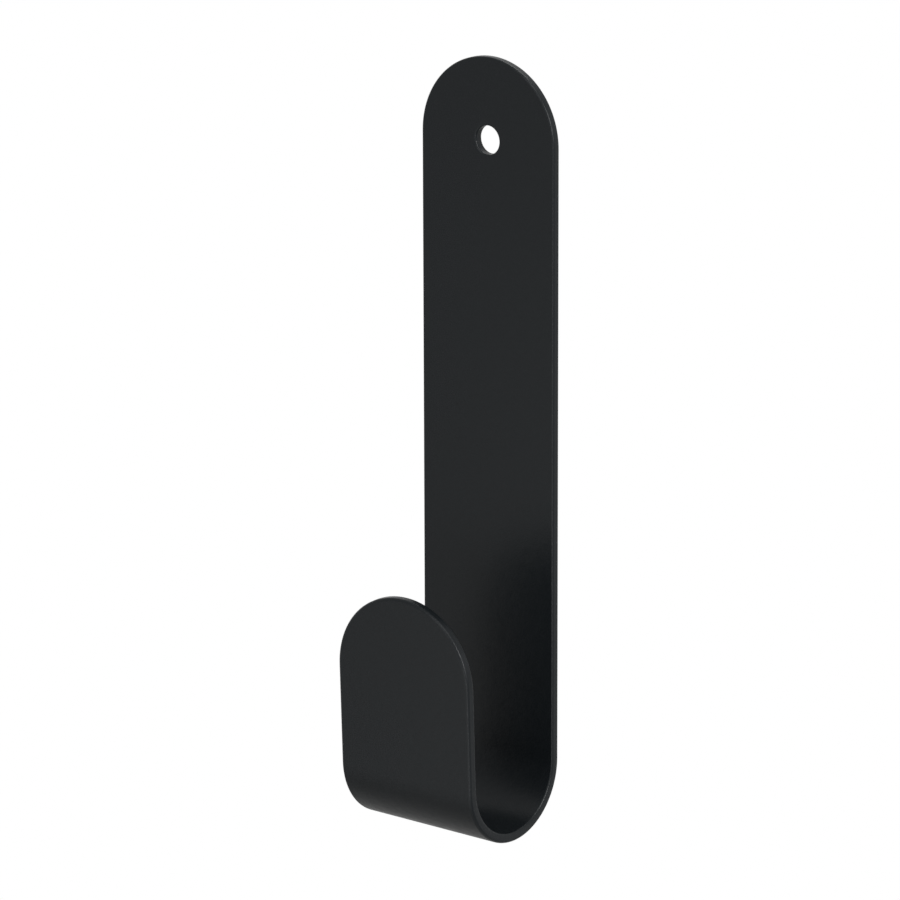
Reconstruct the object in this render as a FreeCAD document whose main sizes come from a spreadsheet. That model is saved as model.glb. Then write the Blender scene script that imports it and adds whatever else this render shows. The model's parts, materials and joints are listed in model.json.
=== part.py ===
"""Wall hook folded from one flat steel strip, for the slats of a slat wall.

The strip hangs upright with its back flat on the wall, turns forward through a wide U at the
bottom and comes up again as a short leg, which leans a little away from the wall. Both ends
are full half circles, and one plain screw hole stands near the upper one. Every edge is
rounded a little, by deburring and by the coat of paint.

Millimetres and degrees. +Z is up and +X is to the right, seen from the front. The wall is the
plane Y = 0 with the hook in front of it, towards -Y. The origin is on the screw's axis, at the
wall.
"""

import FreeCAD
import Part
import math
import os
import Sketcher

from enum import IntEnum
from FreeCAD import Placement, Rotation, Vector

PARTS_FOLDER = "parts"

# Driving dimensions, each a cell of the sheet under this name. The thickness is that of the
# finished strip: the sheet with a coat of paint on both sides.
SIZES = {
    "hook_height": 140.0,  # underside of the bend to the tip of the plate
    "strip_width": 30.0,
    "strip_thickness": 1.8,
    "bend_inner_radius": 10.9,
    "leg_length": 33.6,  # straight part of the leg, from the bend to its tip
    "leg_lean": 2.0,  # lean of the leg away from the wall, in degrees
    "hole_drop": 15.0,  # tip of the plate down to the screw's axis
    "hole_diameter": 5.2,
    "edge_radius": 0.3,
}

# Places that follow from them, as expressions of the same cells. Heights are above the screw.
OUTER_RADIUS = "(sizes.bend_inner_radius + sizes.strip_thickness)"
BEND_HEIGHT = f"(sizes.hole_drop - sizes.hook_height + {OUTER_RADIUS})"
END_RADIUS = "(sizes.strip_width / 2)"
LEAN = "(sizes.leg_lean * 1 deg)"

# Faces that meet at a smaller angle than this run on smoothly and have no edge to round.
SMOOTH_ANGLE = math.radians(20)


class Point(IntEnum):
    """The point of an element that a sketch constraint is about."""

    START = 1
    END = 2
    CENTRE = 3


class Axis(IntEnum):
    """A sketch's own axes, which count as elements of it."""

    LEVEL = -1
    UPRIGHT = -2


ORIGIN = (Axis.LEVEL, Point.START)


def make_sheet(doc):
    """Puts the driving dimensions in a sheet: a name and a number on each row."""
    sheet = doc.addObject("Spreadsheet::Sheet", "sizes")
    for row, (name, value) in enumerate(SIZES.items(), start=1):
        sheet.set(f"A{row}", name)
        sheet.set(f"B{row}", str(value))
        sheet.setAlias(f"B{row}", name)
    doc.recompute()


def new_sketch(body, name, role):
    """An empty sketch on the body's own origin plane that has this role."""
    sketch = body.newObject("Sketcher::SketchObject", name)
    plane = next(plane for plane in body.Origin.OriginFeatures if plane.Role == role)
    sketch.AttachmentSupport = [(plane, "")]
    sketch.MapMode = "FlatFace"
    return sketch


def value_of(sketch, expression):
    """The present value of an expression of the sheet, as a plain number."""
    return float(sketch.evalExpression(expression))


def relate(sketch, kind, *places):
    """Adds a constraint that has no size."""
    sketch.addConstraint(Sketcher.Constraint(kind, *places))


def dimension(sketch, name, expression, kind, *places):
    """Adds a named dimension that is driven by the sheet."""
    value = value_of(sketch, expression)
    index = sketch.addConstraint(Sketcher.Constraint(kind, *places, value))
    sketch.renameConstraint(index, name)
    sketch.setExpression(f"Constraints.{name}", expression)


def draw_tongue(sketch, foot, tip):
    """Draws a flat run of the strip: square at its foot, and a half circle at its tip.

    foot and tip are the heights of its two ends in the sketch, as expressions of the sheet.
    """
    crown_height = f"{tip} - {END_RADIUS}"
    half = value_of(sketch, END_RADIUS)
    low, high = value_of(sketch, foot), value_of(sketch, crown_height)
    circle = Part.Circle(Vector(0, high, 0), Vector(0, 0, 1), half)

    right = sketch.addGeometry(Part.LineSegment(Vector(half, low, 0), Vector(half, high, 0)))
    crown = sketch.addGeometry(Part.ArcOfCircle(circle, 0, math.pi))
    left = sketch.addGeometry(Part.LineSegment(Vector(-half, high, 0), Vector(-half, low, 0)))
    base = sketch.addGeometry(Part.LineSegment(Vector(-half, low, 0), Vector(half, low, 0)))

    relate(sketch, "Tangent", right, Point.END, crown, Point.START)
    relate(sketch, "Tangent", crown, Point.END, left, Point.START)
    relate(sketch, "Coincident", left, Point.END, base, Point.START)
    relate(sketch, "Coincident", base, Point.END, right, Point.START)
    relate(sketch, "Vertical", right)
    relate(sketch, "Vertical", left)
    relate(sketch, "Horizontal", base)
    relate(sketch, "PointOnObject", crown, Point.CENTRE, Axis.UPRIGHT)
    dimension(sketch, "end_radius", END_RADIUS, "Radius", crown)
    dimension(sketch, "foot_height", foot, "DistanceY", *ORIGIN, base, Point.START)
    dimension(sketch, "crown_height", crown_height, "DistanceY", *ORIGIN, crown, Point.CENTRE)


def draw_section(sketch):
    """Draws the strip's cross section on edge, one bend radius above the sketch's origin."""
    half = value_of(sketch, END_RADIUS)
    low = value_of(sketch, "sizes.bend_inner_radius")
    high = value_of(sketch, OUTER_RADIUS)
    corners = [Vector(x, y, 0) for x, y in ((-half, low), (half, low), (half, high), (-half, high))]

    lines = [
        sketch.addGeometry(Part.LineSegment(corner, after))
        for corner, after in zip(corners, corners[1:] + corners[:1])
    ]
    near, right, far, left = lines
    for line, after in zip(lines, lines[1:] + lines[:1]):
        relate(sketch, "Coincident", line, Point.END, after, Point.START)
    relate(sketch, "Symmetric", near, Point.START, near, Point.END, Axis.UPRIGHT)
    relate(sketch, "Horizontal", far)
    relate(sketch, "Vertical", right)
    relate(sketch, "Vertical", left)
    dimension(sketch, "width", "sizes.strip_width", "Distance", near)
    dimension(sketch, "thickness", "sizes.strip_thickness", "Distance", right)
    dimension(sketch, "inner_radius", "sizes.bend_inner_radius", "DistanceY", *ORIGIN, near, Point.START)


def add_plate(body):
    """The plate that lies on the wall, from the bend up to its round tip."""
    outline = new_sketch(body, "plate_outline", "XZ_Plane")
    draw_tongue(outline, BEND_HEIGHT, "sizes.hole_drop")
    plate = body.newObject("PartDesign::Pad", "plate")
    plate.Profile = outline
    plate.setExpression("Length", "sizes.strip_thickness")


def add_screw_hole(body):
    """The plain round hole for the screw, straight through the plate at the origin."""
    outline = new_sketch(body, "hole_outline", "XZ_Plane")
    radius = value_of(outline, "sizes.hole_diameter / 2")
    circle = outline.addGeometry(Part.Circle(Vector(), Vector(0, 0, 1), radius))
    relate(outline, "Coincident", circle, Point.CENTRE, *ORIGIN)
    dimension(outline, "diameter", "sizes.hole_diameter", "Diameter", circle)
    hole = body.newObject("PartDesign::Pocket", "screw_hole")
    hole.Profile = outline
    hole.Type = "ThroughAll"
    hole.Reversed = True


def add_bend(body):
    """The U at the bottom: the strip's section, turned about the middle of the bend.

    It turns through half a circle less the leg's lean.
    """
    section = new_sketch(body, "bend_section", "XY_Plane")
    section.setExpression("AttachmentOffset.Base.y", f"-{OUTER_RADIUS}")
    section.setExpression("AttachmentOffset.Base.z", BEND_HEIGHT)
    draw_section(section)
    bend = body.newObject("PartDesign::Revolution", "bend")
    bend.Profile = section
    bend.ReferenceAxis = (section, ["H_Axis"])
    bend.setExpression("Angle", "180 - sizes.leg_lean")
    bend.Reversed = True


def add_leg(body):
    """The short front leg, drawn on its inner face from the end of the bend up to its tip."""
    outline = new_sketch(body, "leg_outline", "XZ_Plane")
    lean = value_of(outline, "sizes.leg_lean")
    outline.AttachmentOffset = Placement(Vector(), Rotation(Vector(1, 0, 0), lean))
    outline.setExpression("AttachmentOffset.Rotation.Angle", "sizes.leg_lean")
    foot_height = f"{BEND_HEIGHT} - sizes.bend_inner_radius * sin({LEAN})"
    foot_reach = f"{OUTER_RADIUS} + sizes.bend_inner_radius * cos({LEAN})"
    outline.setExpression("AttachmentOffset.Base.y", foot_height)
    outline.setExpression("AttachmentOffset.Base.z", foot_reach)
    draw_tongue(outline, "0", "sizes.leg_length")
    leg = body.newObject("PartDesign::Pad", "leg")
    leg.Profile = outline
    leg.setExpression("Length", "sizes.strip_thickness")


def sharp_edges(shape):
    """The names of the edges at which two faces meet at an angle."""
    names = []
    for number, edge in enumerate(shape.Edges, start=1):
        middle = edge.valueAt((edge.FirstParameter + edge.LastParameter) / 2)
        faces = shape.ancestorsOfType(edge, Part.Face)
        normals = [face.normalAt(*face.Surface.parameter(middle)) for face in faces]
        if len(normals) == 2 and normals[0].getAngle(normals[1]) > SMOOTH_ANGLE:
            names.append(f"Edge{number}")
    return names


def round_edges(body):
    """Rounds the strip's whole outline on both faces, and both rims of the screw hole."""
    folded = body.Tip
    rounding = body.newObject("PartDesign::Fillet", "rounding")
    rounding.Base = (folded, sharp_edges(folded.Shape))
    rounding.setExpression("Radius", "sizes.edge_radius")


def make_hook(doc):
    """The whole hook, as one solid body."""
    body = doc.addObject("PartDesign::Body", "hook_strip")
    add_plate(body)
    add_screw_hole(body)
    add_bend(body)
    add_leg(body)
    doc.recompute()
    round_edges(body)
    doc.recompute()
    return body


def check(doc, body):
    """Stops with a message if a feature failed, or if the body isn't one sound solid."""
    for feature in doc.Objects:
        if {"Invalid", "Error"} & set(feature.State):
            raise RuntimeError(f"{feature.Label} could not be built")
    if body.Shape.isNull() or not body.Shape.isValid() or len(body.Shape.Solids) != 1:
        raise RuntimeError(f"{body.Label} is not one sound solid")


document = FreeCAD.newDocument("wall_hook")
make_sheet(document)
hook = make_hook(document)
check(document, hook)

os.makedirs(PARTS_FOLDER, exist_ok=True)
hook.Shape.exportStep(f"{PARTS_FOLDER}/{hook.Label}.step")
bounds = hook.Shape.optimalBoundingBox()
print(f"{hook.Label}: {bounds.XLength:.2f} x {bounds.YLength:.2f} x {bounds.ZLength:.2f} mm")
print(f"volume {hook.Shape.Volume:.0f} cubic mm")
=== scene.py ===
"""A screw-on wall hook, bent from one flat strip of steel and powder coated black.

Metres. +Z is up and +X is to the right as the hook is faced. The wall is the plane Y = 0, with
the hook in front of it, towards -Y. The origin is on the screw's axis, at the wall.
"""

import json
import math

import bmesh
import bpy
import numpy as np
from mathutils import Matrix, Vector


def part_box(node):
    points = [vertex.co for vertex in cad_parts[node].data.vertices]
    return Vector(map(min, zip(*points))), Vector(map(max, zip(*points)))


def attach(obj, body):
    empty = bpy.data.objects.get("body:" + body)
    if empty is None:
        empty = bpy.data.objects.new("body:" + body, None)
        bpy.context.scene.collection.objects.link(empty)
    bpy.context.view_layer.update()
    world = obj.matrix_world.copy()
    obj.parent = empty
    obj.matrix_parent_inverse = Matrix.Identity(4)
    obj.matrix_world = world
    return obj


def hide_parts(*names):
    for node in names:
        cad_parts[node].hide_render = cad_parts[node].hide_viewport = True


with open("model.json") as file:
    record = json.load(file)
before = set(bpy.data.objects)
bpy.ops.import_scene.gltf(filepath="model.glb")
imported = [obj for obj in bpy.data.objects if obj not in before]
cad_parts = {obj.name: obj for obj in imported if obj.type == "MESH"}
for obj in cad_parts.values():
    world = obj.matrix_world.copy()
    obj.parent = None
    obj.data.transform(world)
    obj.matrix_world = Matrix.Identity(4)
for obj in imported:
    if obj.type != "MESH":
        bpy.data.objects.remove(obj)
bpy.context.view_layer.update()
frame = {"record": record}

# The strip is mild steel sheet, blanked with two full round ends and a plain hole for one
# screw, and then bent cold into a wide U. The punch rounds one side's edges a little more than
# the other's. That soft side lies on the wall, and faces out on the leg.
MM = 0.001
low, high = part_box("hook_strip")
END_RADIUS = high.x
THICKNESS = 1.8 * MM
BEND_RADIUS = 12.7 * MM  # of the outer side, which is the wall side
LEG_RUN = 33.6 * MM
LEAN = math.radians(2.0)
HOLE_RADIUS = frame["record"]["mounts"][0]["dims"]["r_mm"] * MM
SOFT_WIDTH = 0.6 * MM  # the soft corner, measured along the face
SOFT_DEPTH = 0.5 * MM  # the same, measured into the sheet
CRISP = 0.4 * MM  # the other side's corner, and both rims of the hole
HOLE_RIM = HOLE_RADIUS + CRISP

BEND_HEIGHT = low.z + BEND_RADIUS
PLATE_RUN = high.z - BEND_HEIGHT
BEND_SWEEP = math.pi - LEAN
BEND_RUN = BEND_RADIUS * BEND_SWEEP
STRIP_RUN = PLATE_RUN + BEND_RUN + LEG_RUN

# Into how many steps the mesh divides each stretch.
TIP_STEPS = 96
HOLE_STEPS = 24
PLATE_STEPS = 48
BEND_STEPS = 120
LEG_STEPS = 12
FACE_STEPS = 8
EDGE_STEPS = 10
MERGE_DISTANCE = 0.0001 * MM  # points nearer than this are one


def bent(across, along, depth):
    """Where points of the flat strip lie once it is bent.

    along runs down from the plate's tip over the wall side, and depth goes in from that side.
    With R the bend's radius and b = (along - PLATE_RUN) / R, held between 0 and the sweep, a
    point u above the bend or e beyond it lies at y = -R + (R - depth) cos b - e sin b and
    z = BEND_HEIGHT - (R - depth) sin b + u - e cos b.
    """
    turn = np.clip((along - PLATE_RUN) / BEND_RADIUS, 0.0, BEND_SWEEP)
    above = np.maximum(PLATE_RUN - along, 0.0)
    beyond = np.maximum(along - PLATE_RUN - BEND_RUN, 0.0)
    radius = BEND_RADIUS - depth
    y = radius * np.cos(turn) - BEND_RADIUS - beyond * np.sin(turn)
    z = BEND_HEIGHT - radius * np.sin(turn) + above - beyond * np.cos(turn)
    return np.stack(np.broadcast_arrays(across, y, z), axis=-1)


def outline(rim):
    """The stations round the strip's edge, each as the place where its section starts.

    They go over the plate's tip, down the left side, round the leg's tip and up the right side.
    Each has an anchor on the middle line, the two parts of its direction outwards, and how far
    out the face begins: sqrt(rim^2 - a^2), a being the anchor's distance from the hole, or 0.
    """
    tip = np.linspace(0.0, math.pi, TIP_STEPS + 1)
    beside_hole = END_RADIUS + rim * np.sin(np.linspace(0.0, 0.5 * math.pi, HOLE_STEPS + 1))
    side = np.concatenate((
        beside_hole,
        np.linspace(beside_hole[-1], PLATE_RUN, PLATE_STEPS + 1)[1:],
        np.linspace(PLATE_RUN, PLATE_RUN + BEND_RUN, BEND_STEPS + 1)[1:],
        np.linspace(PLATE_RUN + BEND_RUN, STRIP_RUN - END_RADIUS, LEG_STEPS + 1)[1:],
    ))
    still = np.zeros(side.size - 1)
    anchor = np.concatenate((
        np.full(tip.size, END_RADIUS), side[1:], np.full(tip.size - 1, side[-1]), side[-2::-1],
    ))
    across = np.concatenate((np.cos(tip), still - 1.0, -np.cos(tip[1:]), still + 1.0))
    along = np.concatenate((-np.sin(tip), still, np.sin(tip[1:]), still))
    begins = np.sqrt(np.maximum(rim ** 2 - (anchor - END_RADIUS) ** 2, 0.0))
    return anchor, across, along, begins


def strip_skin(rim):
    """Both faces of the strip and its edge: the section, carried round the outline.

    The section runs out over the wall side, round a soft corner, a quarter of an ellipse, over
    the edge, round a crisp quarter circle, and back over the other side.
    """
    share = np.linspace(0.0, 1.0, FACE_STEPS + 1)
    corner = np.linspace(0.0, 0.5 * math.pi, EDGE_STEPS + 1)
    inner = np.concatenate((1.0 - share, np.zeros(2 * corner.size - 2), share))
    reach = np.concatenate((
        share * (END_RADIUS - SOFT_WIDTH),
        END_RADIUS - SOFT_WIDTH + SOFT_WIDTH * np.sin(corner[1:]),
        END_RADIUS - CRISP + CRISP * np.cos(corner[:-1]),
        share[::-1] * (END_RADIUS - CRISP),
    ))
    depth = np.concatenate((
        0.0 * share,
        SOFT_DEPTH * (1.0 - np.cos(corner[1:])),
        THICKNESS - CRISP + CRISP * np.sin(corner[:-1]),
        0.0 * share + THICKNESS,
    ))
    anchor, across, along, begins = (row[:, None] for row in outline(rim))
    out = inner * begins + reach
    return bent(across * out, anchor + along * out, depth)


def hole_skin(rim):
    """The wall of the screw hole: a line with both ends rounded, carried round the hole."""
    over = np.linspace(0.0, math.pi, TIP_STEPS + 1)
    under = np.linspace(math.pi, 2.0 * math.pi, 2 * HOLE_STEPS + 1)
    around = np.concatenate((over, under[1:]))[:, None]
    corner = np.linspace(0.0, 0.5 * math.pi, EDGE_STEPS + 1)
    rounding = rim - HOLE_RADIUS
    radius = HOLE_RADIUS + rounding * np.concatenate((1.0 - np.sin(corner), 1.0 - np.cos(corner)))
    depth = np.concatenate((
        rounding * (1.0 - np.cos(corner)),
        THICKNESS - rounding + rounding * np.sin(corner),
    ))
    return bent(radius * np.cos(around), END_RADIUS - radius * np.sin(around), depth)


def closed_shell(name, *patches):
    """One closed mesh from several grids of points whose borders meet.

    Point (i, j) of a grid with n columns has the number i n + j, and each face joins it with
    points (i, j + 1), (i + 1, j + 1) and (i + 1, j). Points in one place are then merged.
    """
    faces, first = [], 0
    for patch in patches:
        rows, columns = patch.shape[:2]
        point = first + np.arange(rows - 1)[:, None] * columns + np.arange(columns - 1)
        around = np.stack((point, point + 1, point + columns + 1, point + columns), axis=-1)
        faces.append(around.reshape(-1, 4))
        first += rows * columns
    mesh = bpy.data.meshes.new(name)
    points = np.concatenate([patch.reshape(-1, 3) for patch in patches])
    mesh.from_pydata(points.tolist(), [], np.concatenate(faces).tolist())
    shell = bmesh.new()
    shell.from_mesh(mesh)
    bmesh.ops.remove_doubles(shell, verts=shell.verts, dist=MERGE_DISTANCE)
    bmesh.ops.recalc_face_normals(shell, faces=shell.faces)
    shell.to_mesh(mesh)
    shell.free()
    mesh.shade_smooth()
    piece = bpy.data.objects.new(name, mesh)
    bpy.context.scene.collection.objects.link(piece)
    return piece


hook = closed_shell("bent_strip", strip_skin(HOLE_RIM), hole_skin(HOLE_RIM))
hook.modifiers.new("weighted_normals", "WEIGHTED_NORMAL")

# Powder coat, an epoxy polyester, sprayed as a dry powder and baked on at about 180 degrees. It
# gives the eye a deep matt black with a soft sheen, and no grain at arm's length. Close up it
# is faintly waved, like orange peel, over a fine tooth. Both are drawn deeper than on a real
# coat, so that they show.
COAT_HEX = "#0E1113"
COAT_IOR = 1.5
COAT_SPECULAR = 0.13  # matched to the photo; 0.5 would give all that the IOR reflects
COAT_ROUGHNESS = 0.32
ROUGHNESS_SWING = 0.02  # up and down, from wave to wave
PEEL_SPACING = 1.6 * MM
PEEL_HEIGHT = 0.030 * MM
TOOTH_SPACING = 0.30 * MM
TOOTH_HEIGHT = 0.025 * MM
NOISE_LOW, NOISE_HIGH = 0.3, 0.7  # a noise node's output mostly lies between these


def linear(hex_colour):
    """An sRGB colour, as #RRGGBB, turned linear: c / 12.92 up to 0.04045, and above it
    ((c + 0.055) / 1.055) ^ 2.4."""
    parts = (int(hex_colour[start:start + 2], 16) / 255 for start in (1, 3, 5))
    return (*(c / 12.92 if c <= 0.04045 else ((c + 0.055) / 1.055) ** 2.4 for c in parts), 1.0)


def add_node(tree, kind, settings=None, **inputs):
    """Adds a node of this kind, with its settings and its inputs.

    An input is named in words joined by underscores, and is a value or another node's socket.
    """
    node = tree.nodes.new(kind)
    for name, value in (settings or {}).items():
        setattr(node, name, value)
    for name, value in inputs.items():
        socket = next(
            s for s in node.inputs if s.enabled and s.name.lower().replace(" ", "_") == name)
        if isinstance(value, bpy.types.NodeSocket):
            tree.links.new(value, socket)
        else:
            socket.default_value = value
    return node


def powder_coat():
    """Baked black powder coat: two sizes of unevenness in its height and in its gloss."""
    material = bpy.data.materials.new("powder_coat_matt_black")
    material.use_nodes = True
    tree = material.node_tree
    tree.nodes.clear()
    place = add_node(tree, "ShaderNodeTexCoord").outputs["Object"]
    peel = add_node(tree, "ShaderNodeTexNoise", vector=place, scale=1 / PEEL_SPACING, detail=1.0)
    tooth = add_node(tree, "ShaderNodeTexNoise", vector=place, scale=1 / TOOTH_SPACING, detail=1.0)
    waves = add_node(
        tree, "ShaderNodeBump", distance=PEEL_HEIGHT, height=peel.outputs["Fac"], strength=1.0)
    grain = add_node(
        tree, "ShaderNodeBump", distance=TOOTH_HEIGHT, height=tooth.outputs["Fac"], strength=1.0,
        normal=waves.outputs["Normal"])
    gloss = add_node(
        tree, "ShaderNodeMapRange", value=peel.outputs["Fac"],
        from_min=NOISE_LOW, from_max=NOISE_HIGH,
        to_min=COAT_ROUGHNESS - ROUGHNESS_SWING, to_max=COAT_ROUGHNESS + ROUGHNESS_SWING)
    coat = add_node(
        tree, "ShaderNodeBsdfPrincipled", base_color=linear(COAT_HEX), ior=COAT_IOR,
        specular_ior_level=COAT_SPECULAR, roughness=gloss.outputs["Result"],
        normal=grain.outputs["Normal"])
    add_node(tree, "ShaderNodeOutputMaterial", surface=coat.outputs["BSDF"])
    return material


hook.data.materials.append(powder_coat())
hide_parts("hook_strip")
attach(hook, "root")

# The floor is plain pale paint, a metre below the hook, which hangs where it would on a wall.
# It takes the hook's soft shadow, and fades out towards its rim, so that no far edge crosses
# the picture.
FLOOR_DROP = 1.0
FLOOR_REACH = 2.2
FLOOR_FADE = 1.2
FLOOR_HEX = "#F4F3F1"
FLOOR_ROUGHNESS = 0.7
FLOOR_CORNERS = ((-1, -1), (1, -1), (1, 1), (-1, 1))

floor_mesh = bpy.data.meshes.new("floor")
floor_mesh.from_pydata(
    [(x * FLOOR_REACH, y * FLOOR_REACH, -FLOOR_DROP) for x, y in FLOOR_CORNERS],
    [], [(0, 1, 2, 3)])
floor = bpy.data.objects.new("floor", floor_mesh)
bpy.context.scene.collection.objects.link(floor)
floor_paint = bpy.data.materials.new("floor_pale_paint")
floor_paint.use_nodes = True
floor_tree = floor_paint.node_tree
floor_tree.nodes.clear()
place = add_node(floor_tree, "ShaderNodeTexCoord").outputs["Object"]
plan = add_node(floor_tree, "ShaderNodeMapping", vector=place, scale=(1.0, 1.0, 0.0))
reach = add_node(
    floor_tree, "ShaderNodeVectorMath", {"operation": "LENGTH"}, vector=plan.outputs["Vector"])
fade = add_node(
    floor_tree, "ShaderNodeMapRange", value=reach.outputs["Value"],
    from_min=FLOOR_REACH - FLOOR_FADE, from_max=FLOOR_REACH, to_min=1.0, to_max=0.0)
paint = add_node(
    floor_tree, "ShaderNodeBsdfPrincipled", base_color=linear(FLOOR_HEX),
    roughness=FLOOR_ROUGHNESS, alpha=fade.outputs["Result"])
add_node(floor_tree, "ShaderNodeOutputMaterial", surface=paint.outputs["BSDF"])
floor_mesh.materials.append(floor_paint)

# The studio is white all round. Seen directly, in a gloss or through a glass it is full white,
# and it lights the hook at a lower level, so that the lamps give it form.
WORLD_LIGHT = 0.2


def looked_at(tree):
    """1 for a ray that the eye follows, straight or by way of a gloss or a glass, and 0 for one
    that only carries light: the largest of Light Path's three outputs for such rays."""
    ray = add_node(tree, "ShaderNodeLightPath").outputs
    largest = ray["Is Camera Ray"]
    for kind in ("Is Glossy Ray", "Is Transmission Ray"):
        larger = add_node(tree, "ShaderNodeMath", {"operation": "MAXIMUM"})
        tree.links.new(largest, larger.inputs[0])
        tree.links.new(ray[kind], larger.inputs[1])
        largest = larger.outputs["Value"]
    return largest


world = bpy.data.worlds.new("studio")
bpy.context.scene.world = world
world.use_nodes = True
world_tree = world.node_tree
world_tree.nodes.clear()
level = add_node(
    world_tree, "ShaderNodeMapRange", value=looked_at(world_tree), to_min=WORLD_LIGHT, to_max=1.0)
white = add_node(
    world_tree, "ShaderNodeBackground", color=linear("#FFFFFF"), strength=level.outputs["Result"])
add_node(world_tree, "ShaderNodeOutputWorld", surface=white.outputs["Background"])

# Eight soft lamps, each a lit rectangle that faces the middle of the hook. The key, on the
# right, does most for the thin lights along the rims, and the one behind helps it at the bend.
# The front lamp does most for the faces. The others add a little to both.
LAMP_AIM = Vector((0.0, -10.0 * MM, -55.0 * MM))


def direction(azimuth, elevation):
    """The unit vector from the hook towards this azimuth and elevation, in degrees.

    The azimuth a turns from straight in front towards the right, and the elevation e rises from
    level: (sin a cos e, -cos a cos e, sin e).
    """
    turn, rise = math.radians(azimuth), math.radians(elevation)
    level_part = math.cos(rise)
    return Vector((math.sin(turn) * level_part, -math.cos(turn) * level_part, math.sin(rise)))


def add_softbox(name, azimuth, elevation, width, height, brightness, distance=1.0):
    """A square-cornered area lamp that faces the hook from this direction.

    brightness is the radiance of its face, so its power in watts is pi times brightness times
    its area.
    """
    away = direction(azimuth, elevation)
    facing_hook = away.to_track_quat("Z", "Y").to_matrix().to_4x4()
    lamp = bpy.data.lights.new(name, "AREA")
    lamp.shape = "RECTANGLE"
    lamp.size, lamp.size_y = width, height
    lamp.energy = brightness * math.pi * width * height
    softbox = bpy.data.objects.new(name, lamp)
    softbox.matrix_world = Matrix.Translation(LAMP_AIM + away * distance) @ facing_hook
    softbox.visible_camera = False
    bpy.context.scene.collection.objects.link(softbox)


add_softbox("softbox_key", azimuth=75.0, elevation=22.5, width=0.24, height=0.52, brightness=28.0)
add_softbox("softbox_over", azimuth=0.0, elevation=30.0, width=0.25, height=0.78, brightness=4.2)
add_softbox(
    "softbox_front", azimuth=0.0, elevation=-30.0, width=0.57, height=0.37, brightness=1.1,
    distance=0.45)
add_softbox("softbox_low", azimuth=50.0, elevation=-20.0, width=1.0, height=0.27, brightness=0.7)
add_softbox("softbox_side", azimuth=118.0, elevation=15.0, width=0.9, height=0.27, brightness=0.8)
add_softbox("softbox_top", azimuth=60.0, elevation=60.0, width=0.3, height=0.35, brightness=10.5)
add_softbox("softbox_rim", azimuth=195.0, elevation=62.0, width=0.5, height=0.3, brightness=10.0)
add_softbox("softbox_strip", azimuth=25.0, elevation=-15.0, width=0.2, height=0.4, brightness=5.5)

# The camera stands a metre off, to the right of the hook and a little above it, and looks
# through a long lens, so the strip's sides run almost parallel.
CAMERA_AZIMUTH = 39.23
CAMERA_ELEVATION = 15.09
CAMERA_ROLL = math.radians(-0.17)
CAMERA_DISTANCE = 979.1 * MM
CAMERA_TARGET = Vector((-2.0 * MM, -10.0 * MM, -55.46 * MM))
CAMERA_CLIP = 50.0 * MM
SENSOR_WIDTH = 36.0
FOCAL_LENGTH = 218.83

back = direction(CAMERA_AZIMUTH, CAMERA_ELEVATION)
right = direction(CAMERA_AZIMUTH + 90.0, 0.0)
facing = Matrix((right, back.cross(right), back)).transposed().to_4x4()
stand = Matrix.Translation(CAMERA_TARGET + back * CAMERA_DISTANCE)
camera = bpy.data.objects.new("camera", bpy.data.cameras.new("camera"))
camera.data.sensor_width = SENSOR_WIDTH
camera.data.lens = FOCAL_LENGTH
camera.data.clip_start = CAMERA_CLIP
camera.matrix_world = stand @ facing @ Matrix.Rotation(CAMERA_ROLL, 4, "Z")
bpy.context.scene.collection.objects.link(camera)
bpy.context.scene.camera = camera
bpy.context.scene.view_settings.view_transform = "Standard"
